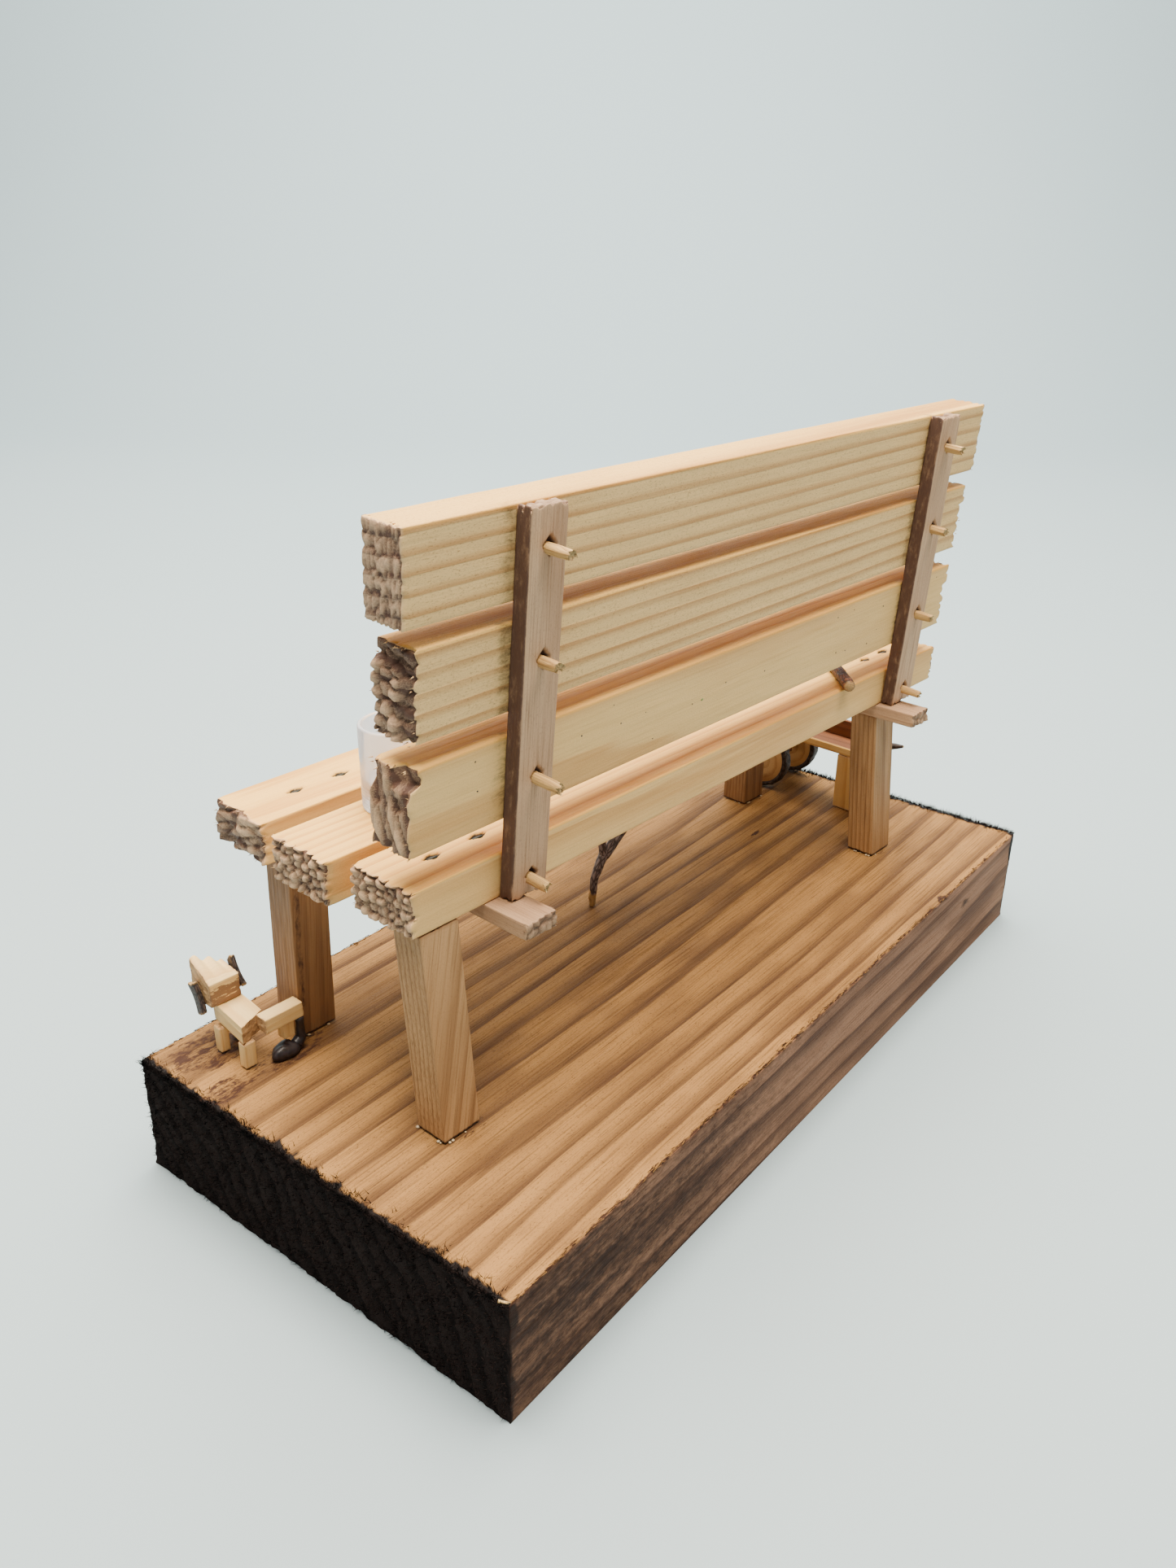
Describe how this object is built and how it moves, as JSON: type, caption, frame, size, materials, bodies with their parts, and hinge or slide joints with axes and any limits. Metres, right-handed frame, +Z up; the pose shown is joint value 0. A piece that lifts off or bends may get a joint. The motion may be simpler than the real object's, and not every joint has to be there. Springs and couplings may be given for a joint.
{
  "type": "miniature garden bench",
  "caption": "Handmade miniature slatted wooden bench on a stained plank, with a small block dog, a tiny glass, a twig, a stick and a handcart.",
  "frame": {"origin": "centre of the plank's underside, which is also the bottom centre of the whole object's box", "axes": "+Z up; +X along the plank towards the dog's end; +Y across the plank towards the back of the bench, so the bench faces -Y"},
  "size_m": [0.2606, 0.12, 0.1713],
  "materials": {
    "stained_pine": "brown-stained planed softwood with near-black fibrous end grain",
    "pale_spruce": "bare pale softwood strip with knobbly cut ends",
    "leg_spruce": "bare pale softwood, upright grain",
    "grey_stripwood": "bare greyish-pink stripwood with torn ends",
    "peg_wood": "bare split wood",
    "brad_steel": "dulled flat steel",
    "dark_bark": "dark grey-brown bark",
    "dark_resin": "glossy near-black blob",
    "clear_glass": "clear, faintly pink, ringed at the foot",
    "twig_bark": "purple-grey bark, pale where split",
    "brown_stripwood": "brown-stained strip"
  },
  "bodies": {
    "root": {"back_pegs_left": "peg_wood", "back_pegs_right": "peg_wood", "back_slat_bottom": "pale_spruce", "back_slat_middle": "pale_spruce", "back_slat_top": "pale_spruce", "base_plank": "stained_pine", "cart_axle": "dark_bark", "cart_axle_block": "brown_stripwood", "cart_end_front": "brown_stripwood", "cart_end_rear": "brown_stripwood", "cart_floor": "brown_stripwood", "cart_handle_left": "dark_bark", "cart_handle_right": "dark_bark", "cart_leg": "pale_spruce", "cart_side_left": "brown_stripwood", "cart_side_right": "pale_spruce", "cart_tyre_left": "dark_bark", "cart_tyre_right": "dark_bark", "cart_wheel_left": "pale_spruce", "cart_wheel_right": "pale_spruce", "dog_body": "pale_spruce", "dog_ear_left": "dark_bark", "dog_ear_right": "dark_bark", "dog_foreleg_left": "pale_spruce", "dog_foreleg_right": "pale_spruce", "dog_head": "pale_spruce", "dog_hind_leg": "pale_spruce", "dog_lifted_leg": "pale_spruce", "dog_muzzle": "pale_spruce", "dog_puddle": "dark_resin", "dog_shin": "pale_spruce", "forked_twig": "twig_bark", "leg_front_left": "leg_spruce", "leg_front_right": "leg_spruce", "leg_rear_left": "leg_spruce", "leg_rear_right": "leg_spruce", "seat_bearer_left": "grey_stripwood", "seat_bearer_right": "grey_stripwood", "seat_pins": "brad_steel", "seat_slat_front": "pale_spruce", "seat_slat_middle": "pale_spruce", "seat_slat_rear": "pale_spruce", "seat_stick": "twig_bark", "tumbler": "clear_glass", "upright_left": "grey_stripwood", "upright_right": "grey_stripwood"}
  },
  "joints": []
}
